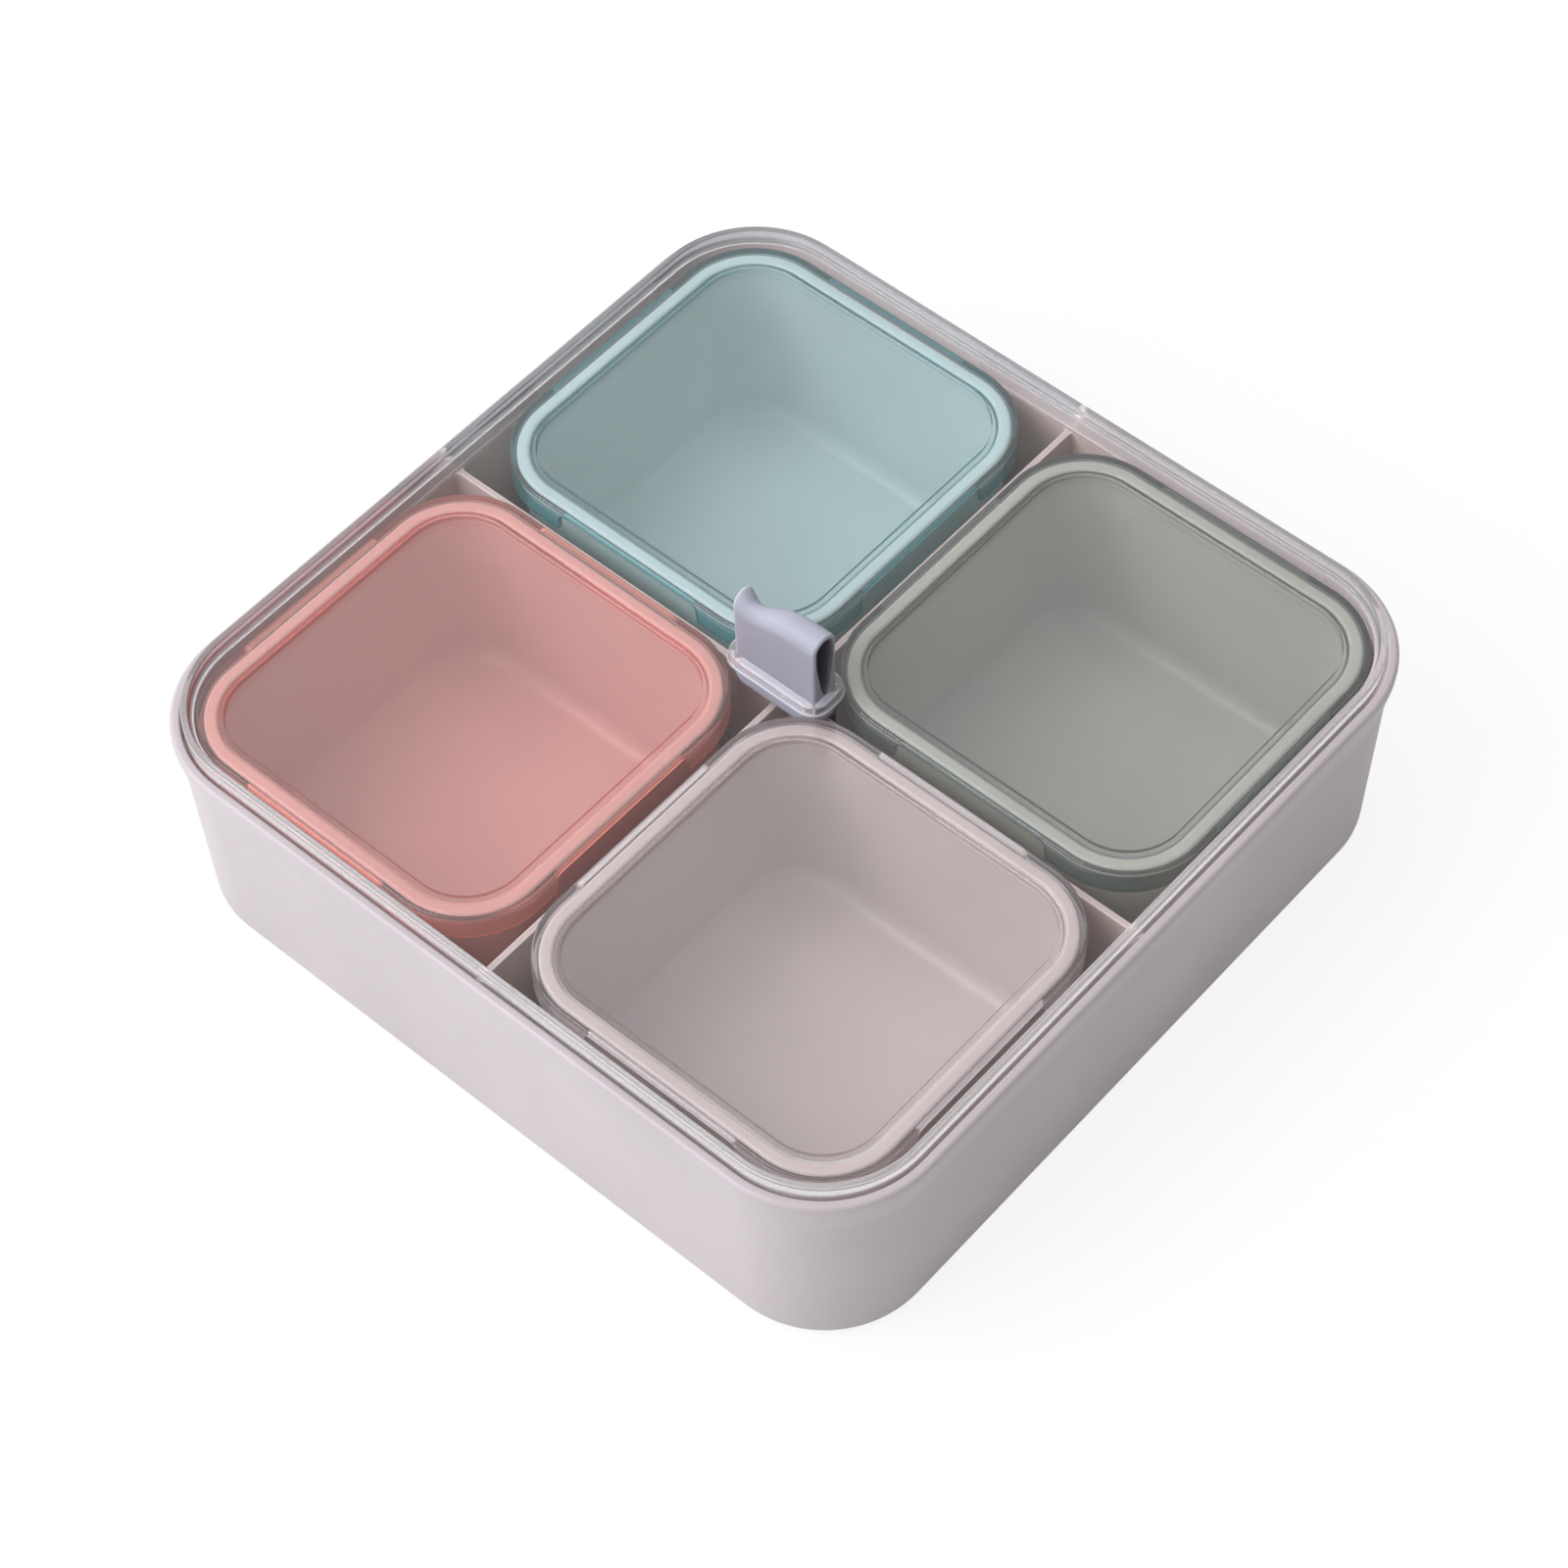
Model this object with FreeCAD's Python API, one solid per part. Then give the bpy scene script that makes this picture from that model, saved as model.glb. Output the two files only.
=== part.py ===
# Divided serving tray: an open tray with a cross of dividers, a clear lift-off lid with a pull strap,
# and four loose boxes that each have a clear lid of their own.
# Millimetres, +Z up, origin under the middle of the tray on the surface it stands on.
import FreeCAD
import Part
import math
import os

os.makedirs("parts", exist_ok=True)

# Tray
TRAY_WIDTH = 250.0          # outer width at the rim, the same both ways
TRAY_CORNER = 35.0          # outer corner radius at the rim, seen from above
TRAY_HEIGHT = 69.5
TRAY_FLOOR = 2.5
TRAY_WALL = 3.0             # wall thickness at the floor
TRAY_LEAN = 2.0             # how far the wall leans in between the flare and the base
TRAY_BASE_ROUND = 4.0
TRAY_INSIDE_ROUND = 4.0
RIM_WALL = 3.0              # width of the rim's top
RIM_FLARE = 1.8             # how far the rim stands out past the wall
RIM_FLARE_DROP = 12.0       # from the rim's top down to where the flare starts
RIM_BAND = 3.0              # upright band above the flare
RIM_FLARE_ROUND = 14.0
RIM_ROUND = 1.3
LEDGE_DEPTH = 8.0           # from the rim's top down to the ledge that carries the lid
LEDGE_WIDTH = 2.4
LEDGE_ROUND = 0.6
DIVIDER_TOP = 2.0           # divider thickness at its top edge
DIVIDER_BASE = 2.8
DIVIDER_ROUND = 0.6

# Main lid: a panel let into an upright wall, which is its raised rim above and its skirt below
LID_GAP = 0.5               # clearance to the tray's rim, all round
LID_RISE = 4.3              # how far the lid's rim stands above the tray's rim
LID_RECESS = 3.1            # from the lid's rim down to its panel
LID_PANEL = 1.8
LID_WALL = 2.0
LID_RIM_ROUND = 0.9
LID_FILLET = 1.2            # where the panel meets the wall

# Collar round the slot in the middle of the lid, which the strap comes up through
COLLAR_HEIGHT = 3.0         # above the panel
COLLAR_WALL = 2.4
COLLAR_CORNER = 5.0
COLLAR_ROUND = 0.8
SLOT_CLEARANCE = 0.3

# Pull strap, one soft moulding: a loop that fills the slot, and a foot under the panel that holds it
STRAP_WIDTH = 27.4          # along X
STRAP_DEPTH = 9.0           # outside of the loop, along Y
STRAP_THICKNESS = 1.9       # of the loop's band at its fullest
LOOP_HEIGHT = 23.0          # above the collar
LOOP_ROUND = 4.4
HOLE_RISE = 1.2             # from the collar up to the narrow end of the drop-shaped hole
HOLE_SHOULDER = 15.0        # from the collar up to where the hole is widest
HOLE_SIDE_ROUND = 14.0
FOOT_LENGTH = 31.0
FOOT_THICKNESS = 4.0
FOOT_CLEARANCE = 0.6        # from the foot to the lids of the boxes beside it

# Boxes
BOX_PLAY = 2.5              # from a box's lid to the sides of its compartment
BOX_CORNER_PLAY = 1.3       # from a box's lid to the tray's rounded corner
BOX_HEADROOM = 0.4          # from a box's lid up to the main lid's panel
BOX_WALL = 2.0
BOX_FLOOR = 2.2
BOX_LEAN = 1.1              # how far the wall leans in between the rim and the base
BOX_RIM = 3.5               # width of the rim's top
BOX_RIM_DROP = 4.0          # depth of the rim's outer bead
BOX_RIM_ROUND = 0.8
BOX_BASE_ROUND = 4.0
BOX_INSIDE_ROUND = 6.0

# Box lids
BOX_LID_FIT = 0.5           # clearance between the lid's skirt and the box's rim
BOX_LID_TOP = 1.5           # thickness of the border that lies on the box's rim
BOX_LID_SKIRT = 1.5
BOX_LID_SKIRT_DROP = 8.5    # from the lid's top down to the bottom of the skirt
BOX_LID_SHOULDER_ROUND = 1.3
PLUG_FIT = 0.4              # clearance between the lid's plug and the box's inside
PLUG_WALL = 1.5
PLUG_ROUND = 1.0
PANEL_RECESS = 2.5          # from the border's top down to the panel's top
PANEL_THICKNESS = 1.5
NOTCH_WIDTH = 50.0          # finger notch in the middle of each side of the skirt
NOTCH_LINTEL = 2.0          # height of skirt that is left above a notch, from the lid's top
NOTCH_ROUND = 2.0

# Each box: its name, the compartment it stands in, and how far it stands from the middle of that
# compartment towards the cross.
BOXES = (
    ("blue", -1, 1, 0.5),
    ("pink", -1, -1, 0.2),
    ("green", 1, 1, 0.5),
    ("beige", 1, -1, 1.4),
)

# Levels and half widths that follow from the driving sizes
TRAY_CORE = TRAY_WIDTH / 2 - TRAY_CORNER
RIM_INSIDE = TRAY_WIDTH / 2 - RIM_WALL
WALL_OUTSIDE = TRAY_WIDTH / 2 - RIM_FLARE
BASE_OUTSIDE = WALL_OUTSIDE - TRAY_LEAN
LEDGE_INSIDE = RIM_INSIDE - LEDGE_WIDTH
FLOOR_INSIDE = BASE_OUTSIDE - TRAY_WALL
LEDGE_LEVEL = TRAY_HEIGHT - LEDGE_DEPTH

LID_OUTSIDE = RIM_INSIDE - LID_GAP
LID_LEVEL = TRAY_HEIGHT + LID_RISE
PANEL_LEVEL = LID_LEVEL - LID_RECESS
PANEL_UNDERSIDE = PANEL_LEVEL - LID_PANEL
COLLAR_LEVEL = PANEL_LEVEL + COLLAR_HEIGHT
SLOT_HALF_X = STRAP_WIDTH / 2 + SLOT_CLEARANCE
SLOT_HALF_Y = STRAP_DEPTH / 2 + SLOT_CLEARANCE
SLOT_CORNER = 2 * SLOT_CLEARANCE
LOOP_LEVEL = COLLAR_LEVEL + LOOP_HEIGHT
FOOT_LEVEL = PANEL_UNDERSIDE - FOOT_THICKNESS

COMPARTMENT = LEDGE_INSIDE - DIVIDER_TOP / 2
COMPARTMENT_MIDDLE = DIVIDER_TOP / 2 + COMPARTMENT / 2
BOX_LID_OUTSIDE = COMPARTMENT / 2 - BOX_PLAY
BOX_LID_LEVEL = PANEL_UNDERSIDE - BOX_HEADROOM
BOX_RIM_LEVEL = BOX_LID_LEVEL - BOX_LID_TOP
SKIRT_INSIDE = BOX_LID_OUTSIDE - BOX_LID_SKIRT
BOX_RIM_OUTSIDE = SKIRT_INSIDE - BOX_LID_FIT
BOX_RIM_INSIDE = BOX_RIM_OUTSIDE - BOX_RIM
BOX_WALL_OUTSIDE = BOX_RIM_INSIDE + BOX_WALL
BOX_BASE_OUTSIDE = BOX_WALL_OUTSIDE - BOX_LEAN
BOX_BASE_INSIDE = BOX_BASE_OUTSIDE - BOX_WALL
PLUG_OUTSIDE = BOX_RIM_INSIDE - PLUG_FIT
PLUG_INSIDE = PLUG_OUTSIDE - PLUG_WALL

# The corner radius of a box's lid is the one that leaves the wanted gap at the tray's corner.
DIAGONAL = math.sqrt(2.0)
CORNER_REACH = (COMPARTMENT_MIDDLE + BOX_LID_OUTSIDE - TRAY_CORE) * DIAGONAL
CORNER_ROOM = LEDGE_INSIDE - TRAY_CORE - BOX_CORNER_PLAY
BOX_LID_CORNER = (CORNER_REACH - CORNER_ROOM) / (DIAGONAL - 1.0)
BOX_CORE = BOX_LID_OUTSIDE - BOX_LID_CORNER

# The strap's foot has round ends, and is as wide as the room between the boxes' lids allows.
NEAREST_CORNER = COMPARTMENT_MIDDLE - max(shift for _, _, _, shift in BOXES) - BOX_CORE
FOOT_KEEP_OUT = BOX_LID_CORNER + FOOT_CLEARANCE
FOOT_END = NEAREST_CORNER - FOOT_LENGTH / 2
FOOT_ROOM = FOOT_END ** 2 + NEAREST_CORNER ** 2 - FOOT_KEEP_OUT ** 2
FOOT_HALF_WIDTH = FOOT_ROOM / (2 * (FOOT_KEEP_OUT - FOOT_END))

UP = FreeCAD.Vector(0, 0, 1)
ORIGIN = FreeCAD.Vector(0, 0, 0)
MOST_OF_AN_EDGE = 0.49      # a corner's rounding takes at most this share of the edges beside it


def rounded_wire(points):
    """Closed wire in the XZ plane through (x, z, round) points, with each corner rounded."""
    spots = [FreeCAD.Vector(x, 0, z) for x, z, _ in points]
    count = len(points)
    starts = []
    ends = []
    middles = []
    for index in range(count):
        here = spots[index]
        back = spots[index - 1] - here
        ahead = spots[(index + 1) % count] - here
        room = MOST_OF_AN_EDGE * min(back.Length, ahead.Length)
        half_angle = back.getAngle(ahead) / 2
        back.normalize()
        ahead.normalize()
        setback = min(points[index][2] / math.tan(half_angle), room)
        radius = setback * math.tan(half_angle)
        inward = back + ahead
        if setback > 0:
            inward.normalize()
        starts.append(here + back * setback)
        ends.append(here + ahead * setback)
        middles.append(here + inward * (radius / math.sin(half_angle) - radius))
    edges = []
    for index in range(count):
        if points[index][2] > 0:
            edges.append(Part.Arc(starts[index], middles[index], ends[index]).toShape())
        edges.append(Part.LineSegment(ends[index], starts[(index + 1) % count]).toShape())
    return Part.Wire(edges)


def joined(solids):
    """One solid from several that overlap or share faces."""
    return solids[0].multiFuse(solids[1:]).removeSplitter()


def swept_block(core_x, core_y, outline):
    """Solid with the outline as its section all round a rectangle with rounded corners.

    The outline's x is measured outwards from the core rectangle's edge, and its first and last
    points lie on that edge.
    """
    section = Part.Face(rounded_wire(outline))
    low = outline[0][1]
    high = outline[-1][1]
    corner_of_core = FreeCAD.Vector(-core_x, -core_y, low)
    solids = [Part.makeBox(2 * core_x, 2 * core_y, high - low, corner_of_core)]
    for turn in range(4):
        out, along = (core_x, core_y) if turn % 2 == 0 else (core_y, core_x)
        side_section = section.copy()
        side_section.translate(FreeCAD.Vector(out, -along, 0))
        side = side_section.extrude(FreeCAD.Vector(0, 2 * along, 0))
        corner_section = section.copy()
        corner_section.translate(FreeCAD.Vector(out, along, 0))
        corner = corner_section.revolve(FreeCAD.Vector(out, along, 0), UP, 90)
        for piece in (side, corner):
            piece.rotate(ORIGIN, UP, 90 * turn)
            solids.append(piece)
    return joined(solids)


def plain_block(half_x, half_y, corner, low, high):
    """Upright block with rounded corners, seen from above."""
    outline = ((0, low, 0), (corner, low, 0), (corner, high, 0), (0, high, 0))
    return swept_block(half_x - corner, half_y - corner, outline)


def make_tray():
    base = BASE_OUTSIDE - TRAY_CORE
    wall = WALL_OUTSIDE - TRAY_CORE
    rim = TRAY_WIDTH / 2 - TRAY_CORE
    rim_inside = RIM_INSIDE - TRAY_CORE
    ledge = LEDGE_INSIDE - TRAY_CORE
    floor = FLOOR_INSIDE - TRAY_CORE
    shell = swept_block(TRAY_CORE, TRAY_CORE, (
        (0, 0, 0),
        (base, 0, TRAY_BASE_ROUND),
        (wall, TRAY_HEIGHT - RIM_FLARE_DROP, RIM_FLARE_ROUND),
        (rim, TRAY_HEIGHT - RIM_BAND, RIM_FLARE_ROUND),
        (rim, TRAY_HEIGHT, RIM_ROUND),
        (rim_inside, TRAY_HEIGHT, RIM_ROUND),
        (rim_inside, LEDGE_LEVEL, 0),
        (ledge, LEDGE_LEVEL, LEDGE_ROUND),
        (floor, TRAY_FLOOR, TRAY_INSIDE_ROUND),
        (0, TRAY_FLOOR, 0),
    ))
    section = Part.Face(rounded_wire((
        (-DIVIDER_BASE / 2, TRAY_FLOOR, 0),
        (DIVIDER_BASE / 2, TRAY_FLOOR, 0),
        (DIVIDER_TOP / 2, LEDGE_LEVEL, DIVIDER_ROUND),
        (-DIVIDER_TOP / 2, LEDGE_LEVEL, DIVIDER_ROUND),
    )))
    section.translate(FreeCAD.Vector(0, -RIM_INSIDE, 0))
    along_y = section.extrude(FreeCAD.Vector(0, 2 * RIM_INSIDE, 0))
    along_x = along_y.copy()
    along_x.rotate(ORIGIN, UP, 90)
    half_wall = swept_block(TRAY_CORE, TRAY_CORE, (
        (0, TRAY_FLOOR, 0),
        (floor + TRAY_WALL / 2, TRAY_FLOOR, 0),
        (ledge + LEDGE_WIDTH / 2, LEDGE_LEVEL, 0),
        (0, LEDGE_LEVEL, 0),
    ))
    return joined([shell, along_y.common(half_wall), along_x.common(half_wall)])


def make_main_lid():
    outside = LID_OUTSIDE - TRAY_CORE
    inside = outside - LID_WALL
    pan = swept_block(TRAY_CORE, TRAY_CORE, (
        (0, PANEL_UNDERSIDE, 0),
        (inside, PANEL_UNDERSIDE, LID_FILLET),
        (inside, LEDGE_LEVEL, 0),
        (outside, LEDGE_LEVEL, 0),
        (outside, LID_LEVEL, LID_RIM_ROUND),
        (inside, LID_LEVEL, LID_RIM_ROUND),
        (inside, PANEL_LEVEL, LID_FILLET),
        (0, PANEL_LEVEL, 0),
    ))
    core_x = SLOT_HALF_X + COLLAR_WALL - COLLAR_CORNER
    core_y = SLOT_HALF_Y + COLLAR_WALL - COLLAR_CORNER
    collar = swept_block(core_x, core_y, (
        (0, PANEL_UNDERSIDE, 0),
        (COLLAR_CORNER, PANEL_UNDERSIDE, 0),
        (COLLAR_CORNER, COLLAR_LEVEL, COLLAR_ROUND),
        (0, COLLAR_LEVEL, 0),
    ))
    slot = plain_block(
        SLOT_HALF_X, SLOT_HALF_Y, SLOT_CORNER, PANEL_UNDERSIDE - LID_PANEL, COLLAR_LEVEL + LID_PANEL)
    return joined([pan, collar]).cut(slot)


def make_pull_strap():
    outer = STRAP_DEPTH / 2
    inner = outer - STRAP_THICKNESS
    shoulder = COLLAR_LEVEL + HOLE_SHOULDER
    ceiling = LOOP_LEVEL - STRAP_THICKNESS
    band = Part.Face(rounded_wire((
        (-outer, PANEL_UNDERSIDE, 0),
        (outer, PANEL_UNDERSIDE, 0),
        (outer, LOOP_LEVEL, LOOP_ROUND),
        (-outer, LOOP_LEVEL, LOOP_ROUND),
    )))
    hole = Part.Face(rounded_wire((
        (0, COLLAR_LEVEL + HOLE_RISE, 0),
        (inner, shoulder, HOLE_SIDE_ROUND),
        (inner, ceiling, inner),
        (-inner, ceiling, inner),
        (-inner, shoulder, HOLE_SIDE_ROUND),
    )))
    section = band.cut(hole)
    section.rotate(ORIGIN, UP, 90)
    section.translate(FreeCAD.Vector(-STRAP_WIDTH / 2, 0, 0))
    loop = section.extrude(FreeCAD.Vector(STRAP_WIDTH, 0, 0))
    straight = FOOT_LENGTH / 2 - FOOT_HALF_WIDTH
    foot_corner = FreeCAD.Vector(-straight, -FOOT_HALF_WIDTH, FOOT_LEVEL)
    foot = [Part.makeBox(2 * straight, 2 * FOOT_HALF_WIDTH, FOOT_THICKNESS, foot_corner)]
    for side in (-1, 1):
        middle = FreeCAD.Vector(side * straight, 0, FOOT_LEVEL)
        foot.append(Part.makeCylinder(FOOT_HALF_WIDTH, FOOT_THICKNESS, middle))
    return joined([loop] + foot)


def make_box():
    base = BOX_BASE_OUTSIDE - BOX_CORE
    wall = BOX_WALL_OUTSIDE - BOX_CORE
    rim = BOX_RIM_OUTSIDE - BOX_CORE
    rim_inside = BOX_RIM_INSIDE - BOX_CORE
    floor = BOX_BASE_INSIDE - BOX_CORE
    return swept_block(BOX_CORE, BOX_CORE, (
        (0, TRAY_FLOOR, 0),
        (base, TRAY_FLOOR, BOX_BASE_ROUND),
        (wall, BOX_RIM_LEVEL - BOX_RIM_DROP, BOX_RIM_ROUND),
        (rim, BOX_RIM_LEVEL - BOX_RIM_DROP, BOX_RIM_ROUND),
        (rim, BOX_RIM_LEVEL, BOX_RIM_ROUND),
        (rim_inside, BOX_RIM_LEVEL, BOX_RIM_ROUND),
        (floor, TRAY_FLOOR + BOX_FLOOR, BOX_INSIDE_ROUND),
        (0, TRAY_FLOOR + BOX_FLOOR, 0),
    ))


def make_box_lid():
    outside = BOX_LID_OUTSIDE - BOX_CORE
    skirt_inside = SKIRT_INSIDE - BOX_CORE
    plug = PLUG_OUTSIDE - BOX_CORE
    recess = PLUG_INSIDE - BOX_CORE
    panel_top = BOX_LID_LEVEL - PANEL_RECESS
    panel_bottom = panel_top - PANEL_THICKNESS
    skirt_bottom = BOX_LID_LEVEL - BOX_LID_SKIRT_DROP
    lid = swept_block(BOX_CORE, BOX_CORE, (
        (0, panel_bottom, 0),
        (plug, panel_bottom, PLUG_ROUND),
        (plug, BOX_RIM_LEVEL, 0),
        (skirt_inside, BOX_RIM_LEVEL, 0),
        (skirt_inside, skirt_bottom, 0),
        (outside, skirt_bottom, 0),
        (outside, BOX_LID_LEVEL, BOX_LID_SHOULDER_ROUND),
        (recess, BOX_LID_LEVEL, PLUG_ROUND),
        (recess, panel_top, PLUG_ROUND),
        (0, panel_top, 0),
    ))
    notch_top = BOX_LID_LEVEL - NOTCH_LINTEL
    notch_bottom = skirt_bottom - BOX_LID_SKIRT
    section = Part.Face(rounded_wire((
        (-NOTCH_WIDTH / 2, notch_bottom, 0),
        (NOTCH_WIDTH / 2, notch_bottom, 0),
        (NOTCH_WIDTH / 2, notch_top, NOTCH_ROUND),
        (-NOTCH_WIDTH / 2, notch_top, NOTCH_ROUND),
    )))
    section.translate(FreeCAD.Vector(0, BOX_RIM_OUTSIDE, 0))
    notch = section.extrude(FreeCAD.Vector(0, BOX_LID_OUTSIDE - BOX_RIM_OUTSIDE + BOX_LID_SKIRT, 0))
    for turn in range(4):
        cutter = notch.copy()
        cutter.rotate(ORIGIN, UP, 90 * turn)
        lid = lid.cut(cutter)
    return lid


def export(name, shape):
    shape.exportStep("parts/" + name + ".step")


export("tray", make_tray())
export("main_lid", make_main_lid())
export("pull_strap", make_pull_strap())
box_shape = make_box()
box_lid_shape = make_box_lid()
for colour, side_x, side_y, shift in BOXES:
    reach = COMPARTMENT_MIDDLE - shift
    place = FreeCAD.Vector(side_x * reach, side_y * reach, 0)
    export(colour + "_box", box_shape.translated(place))
    export(colour + "_box_lid", box_lid_shape.translated(place))
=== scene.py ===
# Looks of the divided serving tray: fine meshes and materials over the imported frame.
import bmesh
import bpy
import math
from mathutils import Matrix, Vector


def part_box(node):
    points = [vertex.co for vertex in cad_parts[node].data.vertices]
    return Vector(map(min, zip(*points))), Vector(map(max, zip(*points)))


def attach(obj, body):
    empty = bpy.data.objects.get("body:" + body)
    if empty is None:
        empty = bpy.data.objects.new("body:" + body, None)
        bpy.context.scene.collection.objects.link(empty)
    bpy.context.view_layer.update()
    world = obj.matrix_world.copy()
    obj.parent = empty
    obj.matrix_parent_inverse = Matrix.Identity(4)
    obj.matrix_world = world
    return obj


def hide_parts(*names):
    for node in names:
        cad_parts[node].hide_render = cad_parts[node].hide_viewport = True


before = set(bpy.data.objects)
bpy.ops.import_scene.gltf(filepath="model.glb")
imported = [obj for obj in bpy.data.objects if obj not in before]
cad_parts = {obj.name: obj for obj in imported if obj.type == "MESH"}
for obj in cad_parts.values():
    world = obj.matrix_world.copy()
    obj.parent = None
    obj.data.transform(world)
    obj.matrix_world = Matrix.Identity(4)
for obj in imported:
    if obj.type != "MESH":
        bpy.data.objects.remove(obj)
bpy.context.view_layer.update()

MM = 0.001

# How finely round shapes are cut
CORNER_STEPS = 20           # steps in a quarter turn, seen from above
ARC_STEP = math.radians(15)  # largest step in a section's rounding
SIDE_SHARE = 0.49           # largest share of a side that a rounding may take
NOTCH_STEPS = 6             # steps in the rounding of a notch
EDGE_STEPS = 4              # steps in the rounding of the strap's ends
FACE_WEIGHT = 70            # how strongly large faces keep their own shading
PARALLEL = 1e-12            # below this, two lines count as parallel
SLACK = 1e-9                # how far past its end a line still counts as met, as a share
ANGLE_DIGITS = 5            # angles that agree to so many digits count as one
MERGE_DISTANCE = 1e-7       # points closer than this become one

# Tray
TRAY_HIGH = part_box("tray")[1]
TRAY_HALF = TRAY_HIGH.x
TRAY_TOP = TRAY_HIGH.z
TRAY_CORNER = 35 * MM
TRAY_CORE = TRAY_HALF - TRAY_CORNER
TRAY_FLOOR = 2.5 * MM
TRAY_WALL = 3 * MM
TRAY_LEAN = 2 * MM
TRAY_BASE_ROUND = 4 * MM
TRAY_INSIDE_ROUND = 4 * MM
RIM_WALL = 3 * MM
RIM_FLARE = 1.8 * MM
RIM_FLARE_DROP = 12 * MM
RIM_BAND = 3 * MM
RIM_FLARE_ROUND = 14 * MM
RIM_ROUND = 1.3 * MM
LEDGE_WIDTH = 2.4 * MM
LEDGE_ROUND = 0.6 * MM
DIVIDER_TOP = 2 * MM
DIVIDER_BASE = 2.8 * MM
POCKET_FILLET = 1.2 * MM    # upright corners where a divider meets the wall or the other divider
FINE_ROUND = 0.3 * MM       # the smallest edges that a moulding has
FLAT_BAND = 0.15 * MM       # flat strip kept beside a rounding, so that the level face stays level

# Main lid
MAIN_LID_LOW, MAIN_LID_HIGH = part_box("main_lid")
LID_HALF = MAIN_LID_HIGH.x
LEDGE_LEVEL = MAIN_LID_LOW.z
LID_LEVEL = MAIN_LID_HIGH.z
LID_RECESS = 3.1 * MM
LID_PANEL = 1.8 * MM
LID_WALL = 2 * MM
LID_RIM_ROUND = 0.5 * MM
LID_FILLET = 1.2 * MM
PANEL_LEVEL = LID_LEVEL - LID_RECESS
PANEL_UNDERSIDE = PANEL_LEVEL - LID_PANEL
COLLAR_HEIGHT = 3 * MM
COLLAR_LEVEL = PANEL_LEVEL + COLLAR_HEIGHT
COLLAR_WALL = 2.4 * MM
COLLAR_CORNER = 5 * MM
COLLAR_ROUND = 0.8 * MM
COLLAR_FILLET = 0.6 * MM
SLOT_CLEARANCE = 0.3 * MM
SLOT_CORNER = 2 * SLOT_CLEARANCE

# Pull strap
STRAP_LOW, STRAP_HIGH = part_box("pull_strap")
STRAP_TOP = STRAP_HIGH.z
STRAP_HALF_X = 13.7 * MM
STRAP_HALF_Y = 4.5 * MM
STRAP_THICKNESS = 1.9 * MM
LOOP_ROUND = 4.4 * MM
HOLE_LIFT = 0.3 * MM
HOLE_RISE = 13 * MM
HOLE_FOOT = PANEL_LEVEL + HOLE_LIFT
HOLE_SHOULDER = COLLAR_LEVEL + HOLE_RISE
HOLE_SIDE_ROUND = 14 * MM
STRAP_EDGE_ROUND = 0.7 * MM
STRAP_STATIONS = 41
LOOP_POINTS = 72
FOOT_OVERLAP = 1 * MM
DIP_PLACE = -8.7 * MM       # where the soft loop's ridge hangs lowest, along X
DIP_SAG = 3.4 * MM          # how far the ridge hangs there
DIP_PINCH = 2.7 * MM        # how far the loop's back is pressed in there
DIP_REACH_LEFT = 4.8 * MM
DIP_REACH_RIGHT = 7.2 * MM
EAR_FLARE = 0.6 * MM        # how far the loop's left end opens out at its top
EAR_POWER = 6               # how suddenly it does so, along X

# Boxes
COLOURS = ("blue", "pink", "green", "beige")
BOX_WALL = 2 * MM
BOX_FLOOR = 2.2 * MM
BOX_LEAN = 1.1 * MM
BOX_RIM = 3.5 * MM
BOX_RIM_DROP = 4 * MM
BOX_RIM_ROUND = 0.8 * MM
BOX_BASE_ROUND = 4 * MM
BOX_INSIDE_ROUND = 6 * MM

# Box lids
BOX_LID_CORNER = 24.2 * MM
BOX_LID_TOP = 1.5 * MM
BOX_LID_SKIRT = 1.5 * MM
BOX_LID_SHOULDER_ROUND = 1.3 * MM
PLUG_FIT = 0.4 * MM
PLUG_WALL = 1.5 * MM
PLUG_ROUND = 1 * MM
RECESS_ROUND = 0.25 * MM
BOX_PANEL_RECESS = 2.5 * MM
BOX_PANEL = 1.5 * MM
NOTCH_HALF = 25 * MM
NOTCH_LINTEL = 2 * MM
NOTCH_ROUND = 2 * MM
NOTCH_DRAFT = 0.4 * MM

# Camera, fitted to the photograph
CAMERA_AZIMUTH = math.radians(42.403)
CAMERA_ELEVATION = math.radians(53.998)
CAMERA_ROLL = math.radians(-1.770)
CAMERA_TARGET = Vector((0, 0, 37 * MM))
CAMERA_DISTANCE = 1.11369
CAMERA_SLIDE = (-1.089 * MM, -9.342 * MM)
CAMERA_LENS = 94.84
CAMERA_SENSOR = 36
CAMERA_NEAR = 0.01


# Sections and rings

def rounded(corners, closed=False):
    """Points of a line through (out, z, round, ...) corners, each turned into an arc of that radius.

    What a corner holds after its round is passed on to all points of its arc.
    """
    count = len(corners)
    points = []
    for index, (out, z, radius, *more) in enumerate(corners):
        here = Vector((out, z))
        at_end = not closed and index in (0, count - 1)
        if at_end or radius == 0:
            points.append((out, z, *more))
            continue
        back = Vector(corners[index - 1][:2]) - here
        ahead = Vector(corners[(index + 1) % count][:2]) - here
        half_angle = back.angle(ahead) / 2
        setback = min(radius / math.tan(half_angle), SIDE_SHARE * min(back.length, ahead.length))
        radius = setback * math.tan(half_angle)
        back.normalize()
        ahead.normalize()
        centre = here + (back + ahead).normalized() * (radius / math.sin(half_angle))
        start = here + back * setback - centre
        end = here + ahead * setback - centre
        sweep = start.angle_signed(end)
        steps = max(2, math.ceil(abs(sweep) / ARC_STEP))
        for step in range(steps + 1):
            turned = start.copy()
            turned.rotate(Matrix.Rotation(-sweep * step / steps, 2))
            spot = centre + turned
            points.append((spot.x, spot.y, *more))
    return points


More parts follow.
